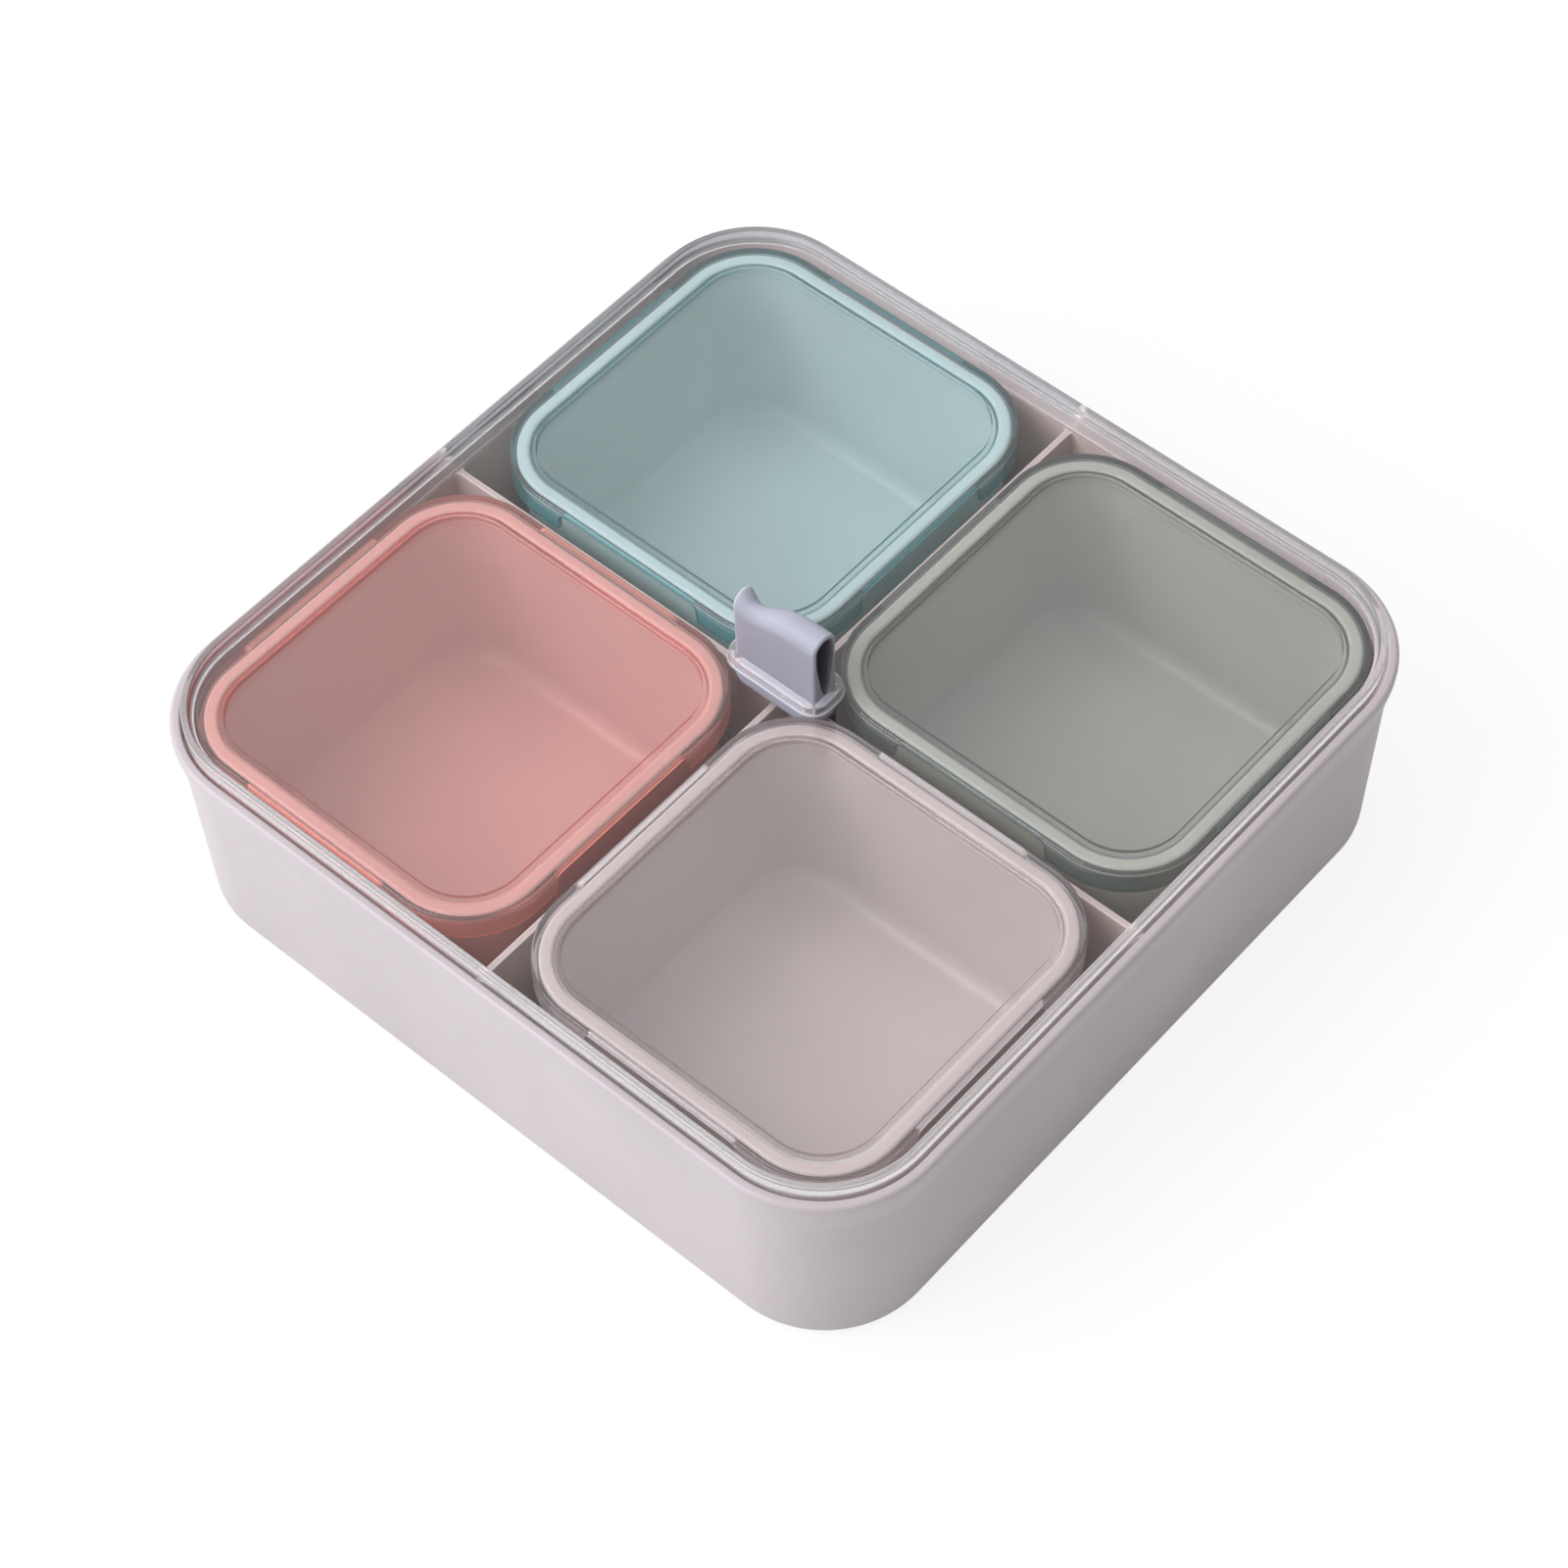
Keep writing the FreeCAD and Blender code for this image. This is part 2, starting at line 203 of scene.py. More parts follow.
def ring(core_x, core_y, out, z, marks=(0.0,), lift=None):
    """Level rectangle with round corners, out from a core rectangle, as points in order.

    marks are the places along each side, as shares of the core's half length. lift, if given, is
    added to z and takes the place along a side in metres.
    """
    points = []
    for turn in range(4):
        reach, along = (core_x, core_y) if turn % 2 == 0 else (core_y, core_x)
        side = [(reach + out, mark * along, mark * along) for mark in marks]
        corner = []
        for step in range(CORNER_STEPS + 1):
            angle = math.pi / 2 * step / CORNER_STEPS
            corner.append((reach + out * math.cos(angle), along + out * math.sin(angle), along))
        spin = Matrix.Rotation(math.pi / 2 * turn, 2)
        for x, y, place in side + corner:
            flat = spin @ Vector((x, y))
            height = z + lift(place) if lift else z
            points.append((flat.x, flat.y, height))
    return points


def bridged(bm, rings, closed=False, edges=None):
    """Adds the rings' points to a mesh with quads between each ring and the next.

    edges, if given, marks the rings between which the quads take the second material, which holds each
    piece's painted light or shade.
    """
    rows = [[bm.verts.new(point) for point in points] for points in rings]
    for place in range(0 if closed else 1, len(rows)):
        low, high = rows[place - 1], rows[place]
        for index in range(len(low)):
            after = (index + 1) % len(low)
            face = bm.faces.new((low[index], low[after], high[after], high[index]))
            face.material_index = int(bool(edges and edges[place - 1] and edges[place]))
    return rows


def piece_from(bm, name, body, replaced, slot, *materials):
    """Turns a finished mesh into a piece that stands for a CAD node."""
    bmesh.ops.recalc_face_normals(bm, faces=bm.faces)
    mesh = bpy.data.meshes.new(name)
    bm.to_mesh(mesh)
    bm.free()
    mesh.polygons.foreach_set("use_smooth", [True] * len(mesh.polygons))
    for material in materials:
        mesh.materials.append(material)
    piece = bpy.data.objects.new(name, mesh)
    bpy.context.scene.collection.objects.link(piece)
    normals = piece.modifiers.new("level faces", "WEIGHTED_NORMAL")
    normals.weight = FACE_WEIGHT
    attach(piece, body)
    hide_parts(replaced)
    return piece


# Materials

SEEP = 4 * MM               # how far light seeps through the boxes' plastic and the strap
CLOUD_SCALE = 18            # faint clouds in a moulding's colour
CLOUD_DETAIL = 3
CLOUD_SHARE = 0.06
CLOUD_STOPS = (0.3, 0.7)
GRAIN_SCALE = 2600          # satin grain of a moulding
GRAIN_DETAIL = 2
GRAIN_STRENGTH = 0.06
GRAIN_HEIGHT = 0.05 * MM
TRAY_ROUGHNESS = 0.42
BOX_ROUGHNESS = 0.35
STRAP_ROUGHNESS = 0.6
BOX_GLOW = 0.8              # share of the light that seeps in
STRAP_GLOW = 1.0
LID_EDGE_CLEARNESS = 0.81   # the rest is white, painted light on the main lid's border, collar and slot
BOX_LID_CLEARNESS = 0.95
# Clearness of a box lid's skirt; the rest shows its painted tint
BOX_LID_EDGE_CLEARNESS = 0.7
CLEAR_BASE = 0.98
CLEAR_TINT = (0.96, 0.955, 0.96)
PLASTIC_BEND = 1.45         # how strongly the clear mouldings bend light


def principled(name, colour, roughness):
    """New material with one Principled shader, as its nodes, its links and that shader."""
    material = bpy.data.materials.new(name)
    material.use_nodes = True
    nodes = material.node_tree.nodes
    shader = nodes["Principled BSDF"]
    shader.inputs["Base Color"].default_value = (*colour, 1)
    shader.inputs["Roughness"].default_value = roughness
    return material, nodes, material.node_tree.links, shader


def moulded_plastic(name, colour, roughness, glow=0.0):
    """Moulded plastic with faint clouds, a fine satin grain and a share of light that seeps through."""
    material, nodes, links, shader = principled(name, colour, roughness)
    shader.inputs["Subsurface Weight"].default_value = glow
    shader.inputs["Subsurface Radius"].default_value = (1, 1, 1)
    shader.inputs["Subsurface Scale"].default_value = SEEP
    where = nodes.new("ShaderNodeTexCoord")
    clouds = nodes.new("ShaderNodeTexNoise")
    clouds.inputs["Scale"].default_value = CLOUD_SCALE
    clouds.inputs["Detail"].default_value = CLOUD_DETAIL
    tint = nodes.new("ShaderNodeValToRGB")
    shades = (1 - CLOUD_SHARE, 1 + CLOUD_SHARE)
    for stop, shade, place in zip(tint.color_ramp.elements, shades, CLOUD_STOPS):
        stop.color = (*[min(1.0, part * shade) for part in colour], 1)
        stop.position = place
    grain = nodes.new("ShaderNodeTexNoise")
    grain.inputs["Scale"].default_value = GRAIN_SCALE
    grain.inputs["Detail"].default_value = GRAIN_DETAIL
    bump = nodes.new("ShaderNodeBump")
    bump.inputs["Strength"].default_value = GRAIN_STRENGTH
    bump.inputs["Distance"].default_value = GRAIN_HEIGHT
    links.new(where.outputs["Object"], clouds.inputs["Vector"])
    links.new(where.outputs["Object"], grain.inputs["Vector"])
    links.new(clouds.outputs["Fac"], tint.inputs["Fac"])
    links.new(tint.outputs["Color"], shader.inputs["Base Color"])
    links.new(grain.outputs["Fac"], bump.inputs["Height"])
    links.new(bump.outputs["Normal"], shader.inputs["Normal"])
    return material


def clear_plastic(name, colour, clearness=1.0, caught=CLEAR_TINT):
    """Clear plastic, or faintly milky. Lamps and light from other surfaces pass straight through it.

    Light that is caught between its faces leaves at the next face with the caught tint, which for
    a box lid is painted: the colour of its box seen through it.
    """
    material, nodes, links, shader = principled(name, colour, 0.0)
    shader.inputs["Transmission Weight"].default_value = clearness
    shader.inputs["IOR"].default_value = PLASTIC_BEND
    path = nodes.new("ShaderNodeLightPath")
    surface = shader.outputs["BSDF"]
    rays = (("Is Reflection Ray", caught), ("Is Shadow Ray", CLEAR_TINT), ("Is Diffuse Ray", CLEAR_TINT))
    for kind, tint in rays:
        through = nodes.new("ShaderNodeBsdfTransparent")
        through.inputs["Color"].default_value = (*tint, 1)
        mix = nodes.new("ShaderNodeMixShader")
        links.new(path.outputs[kind], mix.inputs["Fac"])
        links.new(surface, mix.inputs[1])
        links.new(through.outputs["BSDF"], mix.inputs[2])
        surface = mix.outputs["Shader"]
    links.new(surface, nodes["Material Output"].inputs["Surface"])
    return material


TRAY_PLASTIC = moulded_plastic("tray_plastic", (0.45, 0.40, 0.42), TRAY_ROUGHNESS)
# Painted light: the tray's own plastic made lighter and warmer on the compartments, the ledge and the rim's
# inner wall, for the light that bounces in them
TRAY_PAINTED_LIGHT = moulded_plastic("tray_painted_light", (0.60, 0.48, 0.45), TRAY_ROUGHNESS)
CLEAR_PLASTIC = clear_plastic("clear_plastic", (0.98, 0.975, 0.98))
# Painted light: the main lid's border wall, collar and slot are partly white, for the light bands that their
# clear plastic shows
LID_PAINTED_LIGHT = clear_plastic("lid_painted_light", (0.96, 0.94, 0.96), clearness=LID_EDGE_CLEARNESS)
# Painted tint of each box lid: the glow and shade of its box's wall as seen through the clear lid. The lid's
# skirt takes it, and so does light caught inside the lid
PAINTED_BOX_TINTS = {
    "blue": (0.06, 0.33, 0.36),
    "pink": (1.0, 0.36, 0.28),
    "green": (0.10, 0.15, 0.14),
    "beige": (0.85, 0.80, 0.83),
}
LID_HINT = 0.1              # share of that painted tint in the rest of a box lid
LID_PLASTICS = {}
PAINTED_SKIRTS = {}
for colour, tint in PAINTED_BOX_TINTS.items():
    hinted = [CLEAR_BASE + LID_HINT * (part - CLEAR_BASE) for part in tint]
    LID_PLASTICS[colour] = clear_plastic(colour + "_lid_plastic", hinted, BOX_LID_CLEARNESS, tint)
    PAINTED_SKIRTS[colour] = clear_plastic(colour + "_painted_skirt", tint, BOX_LID_EDGE_CLEARNESS, tint)
STRAP_RUBBER = moulded_plastic("strap_rubber", (0.385, 0.39, 0.462), STRAP_ROUGHNESS, STRAP_GLOW)
# Painted shade: the strap's rubber made much darker inside its loop, where little light reaches
STRAP_PAINTED_SHADE = moulded_plastic("strap_painted_shade", (0.16, 0.15, 0.19), STRAP_ROUGHNESS)
BOX_TONES = {
    "blue": (0.47, 0.615, 0.61),
    "pink": (0.65, 0.32, 0.285),
    "green": (0.42, 0.43, 0.37),
    "beige": (0.555, 0.465, 0.445),
}
BOX_PLASTICS = {}
for colour, tone in BOX_TONES.items():
    BOX_PLASTICS[colour] = moulded_plastic(colour + "_plastic", tone, BOX_ROUGHNESS, BOX_GLOW)


# Tray

def pocket_ring(low, high, radii, z, side_x, side_y):
    """Level outline of one compartment, with a radius for each corner from the wall's corner on."""
    corners = ((high, high, 0), (low, high, 1), (low, low, 2), (high, low, 3))
    points = []
    for (x, y, quarter), radius in zip(corners, radii):
        centre_x = x - radius if x == high else x + radius
        centre_y = y - radius if y == high else y + radius
        for step in range(CORNER_STEPS + 1):
            angle = math.pi / 2 * (quarter + step / CORNER_STEPS)
            across = centre_x + radius * math.cos(angle)
            up = centre_y + radius * math.sin(angle)
            points.append((side_x * across, side_y * up, z))
    return points


def make_tray():
    bm = bmesh.new()
    rim = TRAY_HALF - TRAY_CORE
    wall = rim - RIM_FLARE
    base = wall - TRAY_LEAN
    inside = rim - RIM_WALL
    # The last flag marks the faces that take the painted light: the rim's inner wall and the ledge
    outline = rounded((
        (base - 2 * TRAY_BASE_ROUND, 0, 0, False),
        (base, 0, TRAY_BASE_ROUND, False),
        (wall, TRAY_TOP - RIM_FLARE_DROP, RIM_FLARE_ROUND, False),
        (rim, TRAY_TOP - RIM_BAND, RIM_FLARE_ROUND, False),
        (rim, TRAY_TOP, RIM_ROUND, False),
        (inside, TRAY_TOP, RIM_ROUND, False),
        (inside, TRAY_TOP - RIM_ROUND - FINE_ROUND, 0, True),
        (inside, LEDGE_LEVEL, FINE_ROUND, True),
        (inside - FINE_ROUND - FLAT_BAND, LEDGE_LEVEL, 0, True),
    ))
    rings = [ring(TRAY_CORE, TRAY_CORE, out, z) for out, z, _ in outline]
    rows = bridged(bm, rings, edges=[edge for *_, edge in outline])
    bm.faces.new(rows[0])
    borders = [rows[-1]]
    ledge = inside - LEDGE_WIDTH
    floor = base - TRAY_WALL
    slope = rounded((
        (-LEDGE_ROUND - FLAT_BAND, LEDGE_LEVEL, 0, 0),
        (0, LEDGE_LEVEL, LEDGE_ROUND, 0),
        (0, TRAY_FLOOR, TRAY_INSIDE_ROUND, 1),
        (2 * TRAY_INSIDE_ROUND, TRAY_FLOOR, 0, 1),
    ))
    for side_x in (-1, 1):
        for side_y in (-1, 1):
            rings = []
            for inset, z, _ in slope:
                depth = (LEDGE_LEVEL - z) / (LEDGE_LEVEL - TRAY_FLOOR)
                low = DIVIDER_TOP / 2 + depth * (DIVIDER_BASE - DIVIDER_TOP) / 2 + inset
                high = TRAY_CORE + ledge + depth * (floor - ledge) - inset
                fillet = max(POCKET_FILLET - inset, FINE_ROUND)
                wide = high - TRAY_CORE
                rings.append(pocket_ring(low, high, (wide, fillet, fillet, fillet), z, side_x, side_y))
            # The compartments' walls and floors take the painted light
            rows = bridged(bm, rings, edges=[True] * len(rings))
            bm.faces.new(rows[-1]).material_index = 1
            borders.append(rows[0])
    edges = []
    for border in borders:
        for index, vert in enumerate(border):
            edges.append(bm.edges.get((vert, border[index - 1])))
    bmesh.ops.triangle_fill(bm, use_beauty=True, edges=edges, normal=(0, 0, 1))
    return piece_from(bm, "tray_body", "tray", "tray", "tray_plastic", TRAY_PLASTIC, TRAY_PAINTED_LIGHT)


# Boxes and their lids

def placed(bm, node):
    """Moves a mesh made about the origin to the middle of a CAD node, seen from above."""
    low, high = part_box(node)
    middle = (low + high) / 2
    bmesh.ops.translate(bm, verts=bm.verts, vec=(middle.x, middle.y, 0))


def make_box(colour):
    node = colour + "_box"
    low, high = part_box(node)
    core = (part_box(node + "_lid")[1].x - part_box(node + "_lid")[0].x) / 2 - BOX_LID_CORNER
    rim = (high.x - low.x) / 2 - core
    inside = rim - BOX_RIM
    wall = inside + BOX_WALL
    base = wall - BOX_LEAN
    floor = base - BOX_WALL
    floor_level = low.z + BOX_FLOOR
    outline = rounded((
        (base - 2 * BOX_BASE_ROUND, low.z, 0),
        (base, low.z, BOX_BASE_ROUND),
        (wall, high.z - BOX_RIM_DROP, BOX_RIM_ROUND),
        (rim, high.z - BOX_RIM_DROP, BOX_RIM_ROUND),
        (rim, high.z, BOX_RIM_ROUND),
        (inside, high.z, BOX_RIM_ROUND),
        (floor, floor_level, BOX_INSIDE_ROUND),
        (floor - 2 * BOX_INSIDE_ROUND, floor_level, 0),
    ))
    bm = bmesh.new()
    rows = bridged(bm, [ring(core, core, out, z) for out, z in outline])
    bm.faces.new(rows[0])
    bm.faces.new(rows[-1])
    placed(bm, node)
    return piece_from(bm, colour + "_cup", node, node, colour + "_plastic", BOX_PLASTICS[colour])


def make_box_lid(colour):
    node = colour + "_box_lid"
    low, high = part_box(node)
    outside = BOX_LID_CORNER
    core = (high.x - low.x) / 2 - outside
    box_low, box_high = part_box(colour + "_box")
    plug = (box_high.x - box_low.x) / 2 - core - BOX_RIM - PLUG_FIT
    recess = plug - PLUG_WALL
    skirt = outside - BOX_LID_SKIRT
    border = high.z - BOX_LID_TOP
    panel_top = high.z - BOX_PANEL_RECESS
    panel_low = panel_top - BOX_PANEL
    # The last flag marks the skirt, which takes the painted tint
    outline = rounded((
        (plug - 4 * PLUG_ROUND, panel_low, 0, False, False),
        (plug, panel_low, PLUG_ROUND, False, False),
        (plug, border, FINE_ROUND, False, False),
        (skirt, border, 0.5 * FINE_ROUND, False, False),
        (skirt, low.z, 0.5 * FINE_ROUND, True, True),
        (outside, low.z, FINE_ROUND, True, True),
        (outside, high.z - BOX_LID_SHOULDER_ROUND - FINE_ROUND, 0, False, True),
        (outside, high.z, BOX_LID_SHOULDER_ROUND, False, False),
        (recess, high.z, RECESS_ROUND, False, False),
        (recess, panel_top, RECESS_ROUND, False, False),
        (recess - 4 * RECESS_ROUND, panel_top, 0, False, False),
    ))
    notch_height = high.z - NOTCH_LINTEL - low.z
    bends = [math.pi / 2 * step / NOTCH_STEPS for step in range(NOTCH_STEPS + 1)]
    rises = [(NOTCH_HALF + NOTCH_DRAFT, 0.0)]
    for angle in bends:
        across = NOTCH_HALF - NOTCH_ROUND + NOTCH_ROUND * math.cos(angle)
        rises.append((across, notch_height - NOTCH_ROUND + NOTCH_ROUND * math.sin(angle)))

    def notch(place):
        for (outer, low_rise), (inner, high_rise) in zip(rises, rises[1:]):
            if inner <= abs(place) <= outer:
                share = (outer - abs(place)) / (outer - inner)
                return low_rise + share * (high_rise - low_rise)
        return notch_height if abs(place) < NOTCH_HALF else 0.0

    places = [across for across, _ in rises]
    marks = [-place / core for place in places] + [place / core for place in reversed(places)]
    bm = bmesh.new()
    rings = [ring(core, core, out, z, marks, notch if notched else None) for out, z, notched, _ in outline]
    rows = bridged(bm, rings, edges=[edge for *_, edge in outline])
    bm.faces.new(rows[0])
    bm.faces.new(rows[-1])
    placed(bm, node)
    materials = (LID_PLASTICS[colour], PAINTED_SKIRTS[colour])
    return piece_from(bm, colour + "_cover", node, node, "clear_plastic", *materials)


# Main lid

def make_main_lid():
    outside = LID_HALF - TRAY_CORE
    inside = outside - LID_WALL
    slot_x = STRAP_HALF_X + SLOT_CLEARANCE
    slot_y = STRAP_HALF_Y + SLOT_CLEARANCE
    # The flag marks the faces that take the painted light: the slot, the collar and the border wall
    slot_line = rounded((
        (SLOT_CORNER + 2 * FINE_ROUND, PANEL_UNDERSIDE, 0, False),
        (SLOT_CORNER, PANEL_UNDERSIDE, FINE_ROUND, True),
        (SLOT_CORNER, COLLAR_LEVEL, FINE_ROUND, True),
        (SLOT_CORNER + 2 * FINE_ROUND, COLLAR_LEVEL, 0, True),
    ))
    collar_line = rounded((
        (COLLAR_CORNER - COLLAR_ROUND - FLAT_BAND, COLLAR_LEVEL, 0, True),
        (COLLAR_CORNER, COLLAR_LEVEL, COLLAR_ROUND, True),
        (COLLAR_CORNER, PANEL_LEVEL, COLLAR_FILLET, True),
        (COLLAR_CORNER + 2 * COLLAR_FILLET, PANEL_LEVEL, 0, False),
    ))
    wall_line = rounded((
        (inside - 2 * LID_FILLET, PANEL_LEVEL, 0, False),
        (inside, PANEL_LEVEL, LID_FILLET, True),
        (inside, LID_LEVEL, LID_RIM_ROUND, True),
        (outside, LID_LEVEL, LID_RIM_ROUND, True),
        (outside, LEDGE_LEVEL, FINE_ROUND, True),
        (inside, LEDGE_LEVEL, FINE_ROUND, True),
        (inside, PANEL_UNDERSIDE, LID_FILLET, True),
        (inside - 2 * LID_FILLET, PANEL_UNDERSIDE, 0, False),
    ))
    collar_x = slot_x + COLLAR_WALL - COLLAR_CORNER
    collar_y = slot_y + COLLAR_WALL - COLLAR_CORNER
    rings = [ring(slot_x - SLOT_CORNER, slot_y - SLOT_CORNER, out, z) for out, z, _ in slot_line]
    rings += [ring(collar_x, collar_y, out, z) for out, z, _ in collar_line]
    rings += [ring(TRAY_CORE, TRAY_CORE, out, z) for out, z, _ in wall_line]
    bm = bmesh.new()
    bridged(bm, rings, closed=True, edges=[edge for _, _, edge in slot_line + collar_line + wall_line])
    return piece_from(bm, "main_cover", "lid", "main_lid", "clear_plastic", CLEAR_PLASTIC, LID_PAINTED_LIGHT)


# Pull strap

def loop_at(line, centre, angle):
    """Where a ray from the centre meets a closed line, in the upright plane across the strap."""
    way = Vector((math.cos(angle), math.sin(angle)))
    for index, (y, z) in enumerate(line):
        start = Vector(line[index - 1]) - centre
        run = Vector((y, z)) - centre - start
        turn = way.x * run.y - way.y * run.x
        if abs(turn) < PARALLEL:
            continue
        share = (start.x * way.y - start.y * way.x) / turn
        reach = (start.x * run.y - start.y * run.x) / turn
        if reach > 0 and -SLACK <= share <= 1 + SLACK:
            return centre + way * reach
    return None


def drawn_in(line, amount):
    """A closed line moved along its own normals, inwards where the amount is positive."""
    moved = []
    count = len(line)
    for index in range(count):
        along = (line[(index + 1) % count] - line[index - 1]).normalized()
        moved.append(line[index] + Vector((-along.y, along.x)) * amount)
    return moved


def slumped(x, y, z):
    """Where a point of the straight loop lies once the soft ridge hangs in its dip."""
    reach = DIP_REACH_LEFT if x < DIP_PLACE else DIP_REACH_RIGHT
    dip = math.exp(-((x - DIP_PLACE) / reach) ** 2)
    height = min(1.0, max(0.0, (z - COLLAR_LEVEL) / (STRAP_TOP - COLLAR_LEVEL)))
    share = dip * height * height * (3 - 2 * height)
    back = (y + STRAP_HALF_Y) / (2 * STRAP_HALF_Y)
    end = max(0.0, -x / STRAP_HALF_X) ** EAR_POWER
    return (x - EAR_FLARE * end * height * height, y - DIP_PINCH * share * back, z - DIP_SAG * share)


def united(first, second):
    """One closed mesh of two that overlap."""
    pair = []
    for bm in (first, second):
        bmesh.ops.recalc_face_normals(bm, faces=bm.faces)
        mesh = bpy.data.meshes.new("half")
        mesh.materials.append(STRAP_RUBBER)
        mesh.materials.append(STRAP_PAINTED_SHADE)
        bm.to_mesh(mesh)
        bm.free()
        half = bpy.data.objects.new("half", mesh)
        bpy.context.scene.collection.objects.link(half)
        pair.append(half)
    union = pair[0].modifiers.new("union", "BOOLEAN")
    union.operation = "UNION"
    union.solver = "EXACT"
    union.object = pair[1]
    graph = bpy.context.evaluated_depsgraph_get()
    mesh = bpy.data.meshes.new_from_object(pair[0].evaluated_get(graph))
    whole = bmesh.new()
    whole.from_mesh(mesh)
    bpy.data.meshes.remove(mesh)
    for half in pair:
        bpy.data.objects.remove(half)
    return whole


def make_pull_strap():
    inner = STRAP_HALF_Y - STRAP_THICKNESS
    ceiling = STRAP_TOP - STRAP_THICKNESS
    root = PANEL_UNDERSIDE - FOOT_OVERLAP
    outer_line = rounded((
        (-STRAP_HALF_Y, root, 0),
        (STRAP_HALF_Y, root, 0),
        (STRAP_HALF_Y, STRAP_TOP, LOOP_ROUND),
        (-STRAP_HALF_Y, STRAP_TOP, LOOP_ROUND),
    ), closed=True)
    hole_line = rounded((
        (0, HOLE_FOOT, FINE_ROUND),
        (inner, HOLE_SHOULDER, HOLE_SIDE_ROUND),
        (inner, ceiling, inner),
        (-inner, ceiling, inner),
        (-inner, HOLE_SHOULDER, HOLE_SIDE_ROUND),
    ), closed=True)
    centre = Vector((0, HOLE_SHOULDER))
    angles = [math.atan2(z - centre.y, y) for y, z in outer_line]
    angles += [2 * math.pi * step / LOOP_POINTS for step in range(LOOP_POINTS)]
    angles = sorted({round(angle % (2 * math.pi), ANGLE_DIGITS) for angle in angles})
    outer = [loop_at(outer_line, centre, angle) for angle in angles]
    hole = [loop_at(hole_line, centre, angle) for angle in angles]
    stations = [(STRAP_HALF_X - STRAP_EDGE_ROUND) * (2 * step / (STRAP_STATIONS - 1) - 1)
                for step in range(STRAP_STATIONS)]
    bends = [math.pi / 2 * step / EDGE_STEPS for step in range(1, EDGE_STEPS + 1)]
    ends = [(STRAP_EDGE_ROUND * math.sin(bend), STRAP_EDGE_ROUND * (1 - math.cos(bend))) for bend in bends]
    places = [(-STRAP_HALF_X + STRAP_EDGE_ROUND - past, inset) for past, inset in reversed(ends)]
    places += [(station, 0.0) for station in stations]
    places += [(STRAP_HALF_X - STRAP_EDGE_ROUND + past, inset) for past, inset in ends]
    rings = [[slumped(x, y, z) for y, z in drawn_in(outer, inset)] for x, inset in places]
    rings += [[slumped(x, y, z) for y, z in drawn_in(hole, -inset)] for x, inset in reversed(places)]
    # The rings of the loop's inside take the painted shade
    hollow = [place >= len(places) for place in range(len(rings))]
    loop = bmesh.new()
    bridged(loop, rings, closed=True, edges=hollow)
    foot_half_y = STRAP_HIGH.y
    foot_line = rounded((
        (foot_half_y - 2 * FINE_ROUND, STRAP_LOW.z, 0),
        (foot_half_y, STRAP_LOW.z, FINE_ROUND),
        (foot_half_y, PANEL_UNDERSIDE, FINE_ROUND),
        (foot_half_y - 2 * FINE_ROUND, PANEL_UNDERSIDE, 0),
    ))
    foot = bmesh.new()
    rows = bridged(foot, [ring(STRAP_HIGH.x - foot_half_y, 0.0, out, z) for out, z in foot_line])
    foot.faces.new(rows[0])
    foot.faces.new(rows[-1])
    bmesh.ops.remove_doubles(foot, verts=foot.verts, dist=MERGE_DISTANCE)
    bm = united(loop, foot)
    return piece_from(bm, "strap_loop", "lid", "pull_strap", "strap_rubber", STRAP_RUBBER, STRAP_PAINTED_SHADE)


make_tray()
make_main_lid()
make_pull_strap()
for colour in COLOURS:
    make_box(colour)
    make_box_lid(colour)


# Stage, light and camera

BRIGHT_SIDE = (-0.75, -0.45, 0.15)
SHADE_START = -0.6          # where the room starts to brighten towards that side, and where it ends
SHADE_END = 0.9
ROOM_DARK = 0.23
ROOM_BRIGHT = 0.9
SEEN_DARK = 0.5             # the same room, as gloss and clear plastic show it
SEEN_BRIGHT = 0.95
FLOOR_HALF = 6.0
FLOOR_LEVEL = -0.1 * MM
FLOOR_TONE = (0.65, 0.65, 0.65)
FLOOR_ROUGHNESS = 0.8
FLOOR_GLOW = 0.3
FLOOR_WHITE = 0.8           # how far the camera sees the floor as plain white paper
COOL_WHITE = (0.95, 0.98, 1.0)
BOUNCES = 32
# Name, way from the tray, distance, size, power, and whether gloss shows it
LAMPS = (
    ("key", (-0.40, -0.80, 0.85), 1.4, 1.0, 14.5, True),
    ("top", (-0.1, 0.0, 1.0), 1.6, 1.4, 9.8, False),
)


def make_floor():
    mesh = bpy.data.meshes.new("floor")
    signs = ((-1, -1), (1, -1), (1, 1), (-1, 1))
    corners = [(x * FLOOR_HALF, y * FLOOR_HALF, FLOOR_LEVEL) for x, y in signs]
    mesh.from_pydata(corners, [], [(0, 1, 2, 3)])
    material, nodes, links, shader = principled("floor_paper", FLOOR_TONE, FLOOR_ROUGHNESS)
    shader.inputs["Emission Color"].default_value = (1, 1, 1, 1)
    shader.inputs["Emission Strength"].default_value = FLOOR_GLOW
    path = nodes.new("ShaderNodeLightPath")
    white = nodes.new("ShaderNodeEmission")
    pale = nodes.new("ShaderNodeMixShader")
    pale.inputs["Fac"].default_value = FLOOR_WHITE
    seen = nodes.new("ShaderNodeMixShader")
    links.new(shader.outputs["BSDF"], pale.inputs[1])
    links.new(white.outputs["Emission"], pale.inputs[2])
    links.new(path.outputs["Is Camera Ray"], seen.inputs["Fac"])
    links.new(shader.outputs["BSDF"], seen.inputs[1])
    links.new(pale.outputs["Shader"], seen.inputs[2])
    links.new(seen.outputs["Shader"], nodes["Material Output"].inputs["Surface"])
    mesh.materials.append(material)
    floor = bpy.data.objects.new("floor", mesh)
    bpy.context.scene.collection.objects.link(floor)


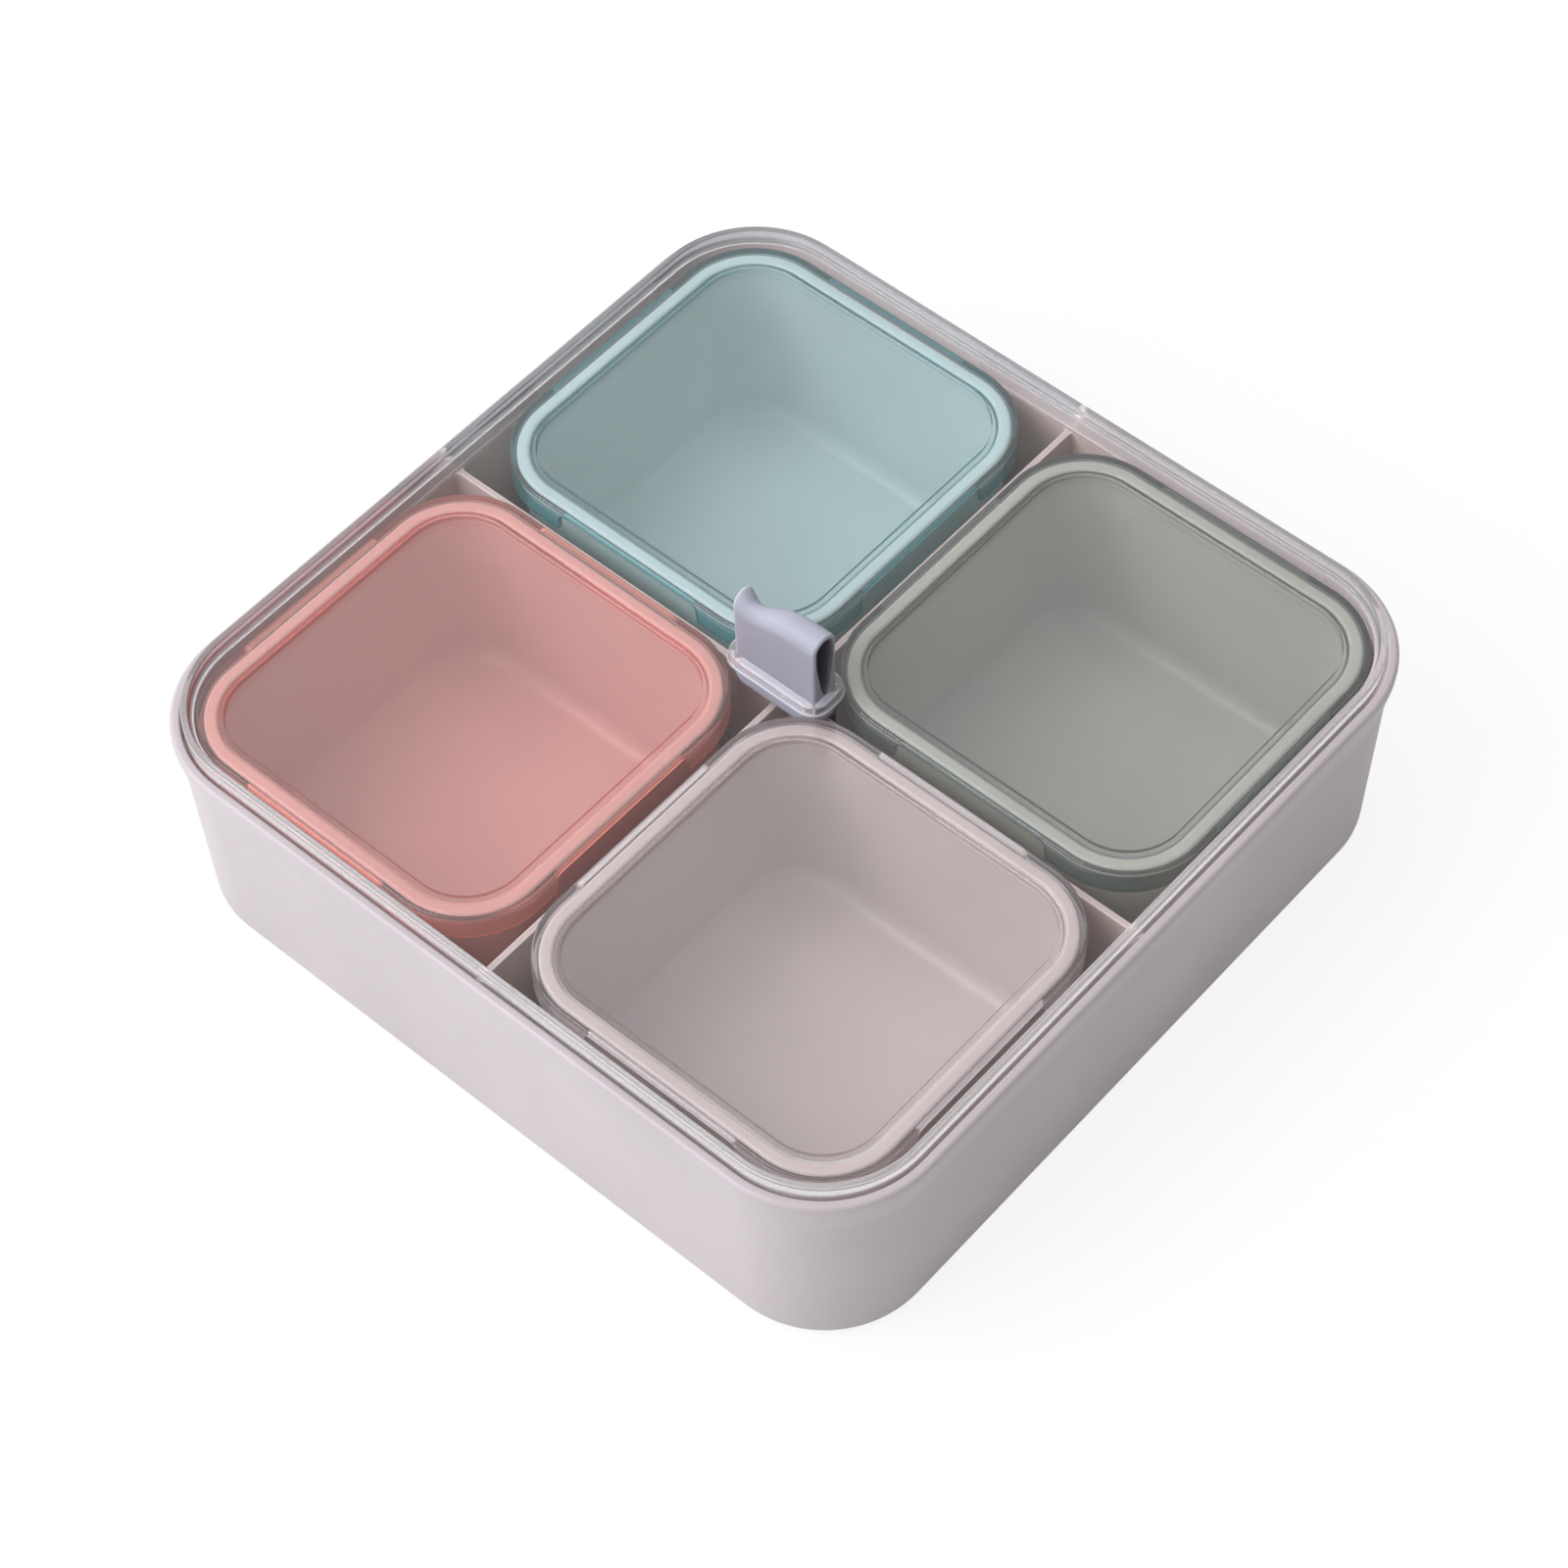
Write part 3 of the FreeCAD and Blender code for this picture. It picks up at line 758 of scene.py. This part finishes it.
def make_area_light(name, way, distance, size, power, mirrored):
    """Soft lamp that looks at the tray from the given way, seen in gloss only if mirrored."""
    lamp = bpy.data.lights.new(name, "AREA")
    lamp.shape = "SQUARE"
    lamp.size = size
    lamp.energy = power
    lamp.color = COOL_WHITE
    light = bpy.data.objects.new(name, lamp)
    light.location = Vector(way).normalized() * distance
    light.rotation_mode = "QUATERNION"
    light.rotation_quaternion = Vector(way).to_track_quat("Z", "Y")
    light.visible_transmission = False
    light.visible_glossy = mirrored
    bpy.context.scene.collection.objects.link(light)


def make_world():
    """Pale room that lights the tray from its left and front, and looks paler in gloss and clear plastic."""
    world = bpy.data.worlds.new("studio")
    world.use_nodes = True
    nodes = world.node_tree.nodes
    links = world.node_tree.links
    where = nodes.new("ShaderNodeTexCoord")
    facing = nodes.new("ShaderNodeVectorMath")
    facing.operation = "DOT_PRODUCT"
    facing.inputs[1].default_value = Vector(BRIGHT_SIDE).normalized()
    links.new(where.outputs["Generated"], facing.inputs[0])
    path = nodes.new("ShaderNodeLightPath")
    seen = nodes.new("ShaderNodeMath")
    seen.operation = "MAXIMUM"
    level = nodes.new("ShaderNodeMix")
    links.new(path.outputs["Is Glossy Ray"], seen.inputs[0])
    links.new(path.outputs["Is Transmission Ray"], seen.inputs[1])
    links.new(seen.outputs["Value"], level.inputs["Factor"])
    for name, dark, bright in (("A", ROOM_DARK, ROOM_BRIGHT), ("B", SEEN_DARK, SEEN_BRIGHT)):
        shade = nodes.new("ShaderNodeMapRange")
        shade.interpolation_type = "SMOOTHSTEP"
        shade.inputs["From Min"].default_value = SHADE_START
        shade.inputs["From Max"].default_value = SHADE_END
        shade.inputs["To Min"].default_value = dark
        shade.inputs["To Max"].default_value = bright
        links.new(facing.outputs["Value"], shade.inputs["Value"])
        links.new(shade.outputs["Result"], level.inputs[name])
    links.new(level.outputs["Result"], nodes["Background"].inputs["Strength"])
    nodes["Background"].inputs["Color"].default_value = (1, 1, 1, 1)
    bpy.context.scene.world = world


def make_camera():
    back = Vector((
        math.sin(CAMERA_AZIMUTH) * math.cos(CAMERA_ELEVATION),
        -math.cos(CAMERA_AZIMUTH) * math.cos(CAMERA_ELEVATION),
        math.sin(CAMERA_ELEVATION),
    ))
    level = Vector((math.cos(CAMERA_AZIMUTH), math.sin(CAMERA_AZIMUTH), 0))
    upright = back.cross(level)
    right = math.cos(CAMERA_ROLL) * level + math.sin(CAMERA_ROLL) * upright
    up = math.cos(CAMERA_ROLL) * upright - math.sin(CAMERA_ROLL) * level
    place = CAMERA_TARGET + back * CAMERA_DISTANCE + right * CAMERA_SLIDE[0] + up * CAMERA_SLIDE[1]
    lens = bpy.data.cameras.new("camera")
    lens.lens = CAMERA_LENS
    lens.sensor_width = CAMERA_SENSOR
    lens.clip_start = CAMERA_NEAR
    camera = bpy.data.objects.new("camera", lens)
    camera.matrix_world = Matrix.Translation(place) @ Matrix((right, up, back)).transposed().to_4x4()
    bpy.context.scene.collection.objects.link(camera)
    bpy.context.scene.camera = camera


make_floor()
make_world()
for lamp in LAMPS:
    make_area_light(*lamp)
make_camera()
bpy.context.scene.view_settings.view_transform = "Standard"
bpy.context.scene.cycles.max_bounces = BOUNCES
bpy.context.scene.cycles.transmission_bounces = BOUNCES
bpy.context.scene.cycles.transparent_max_bounces = BOUNCES

bpy.context.view_layer.update()
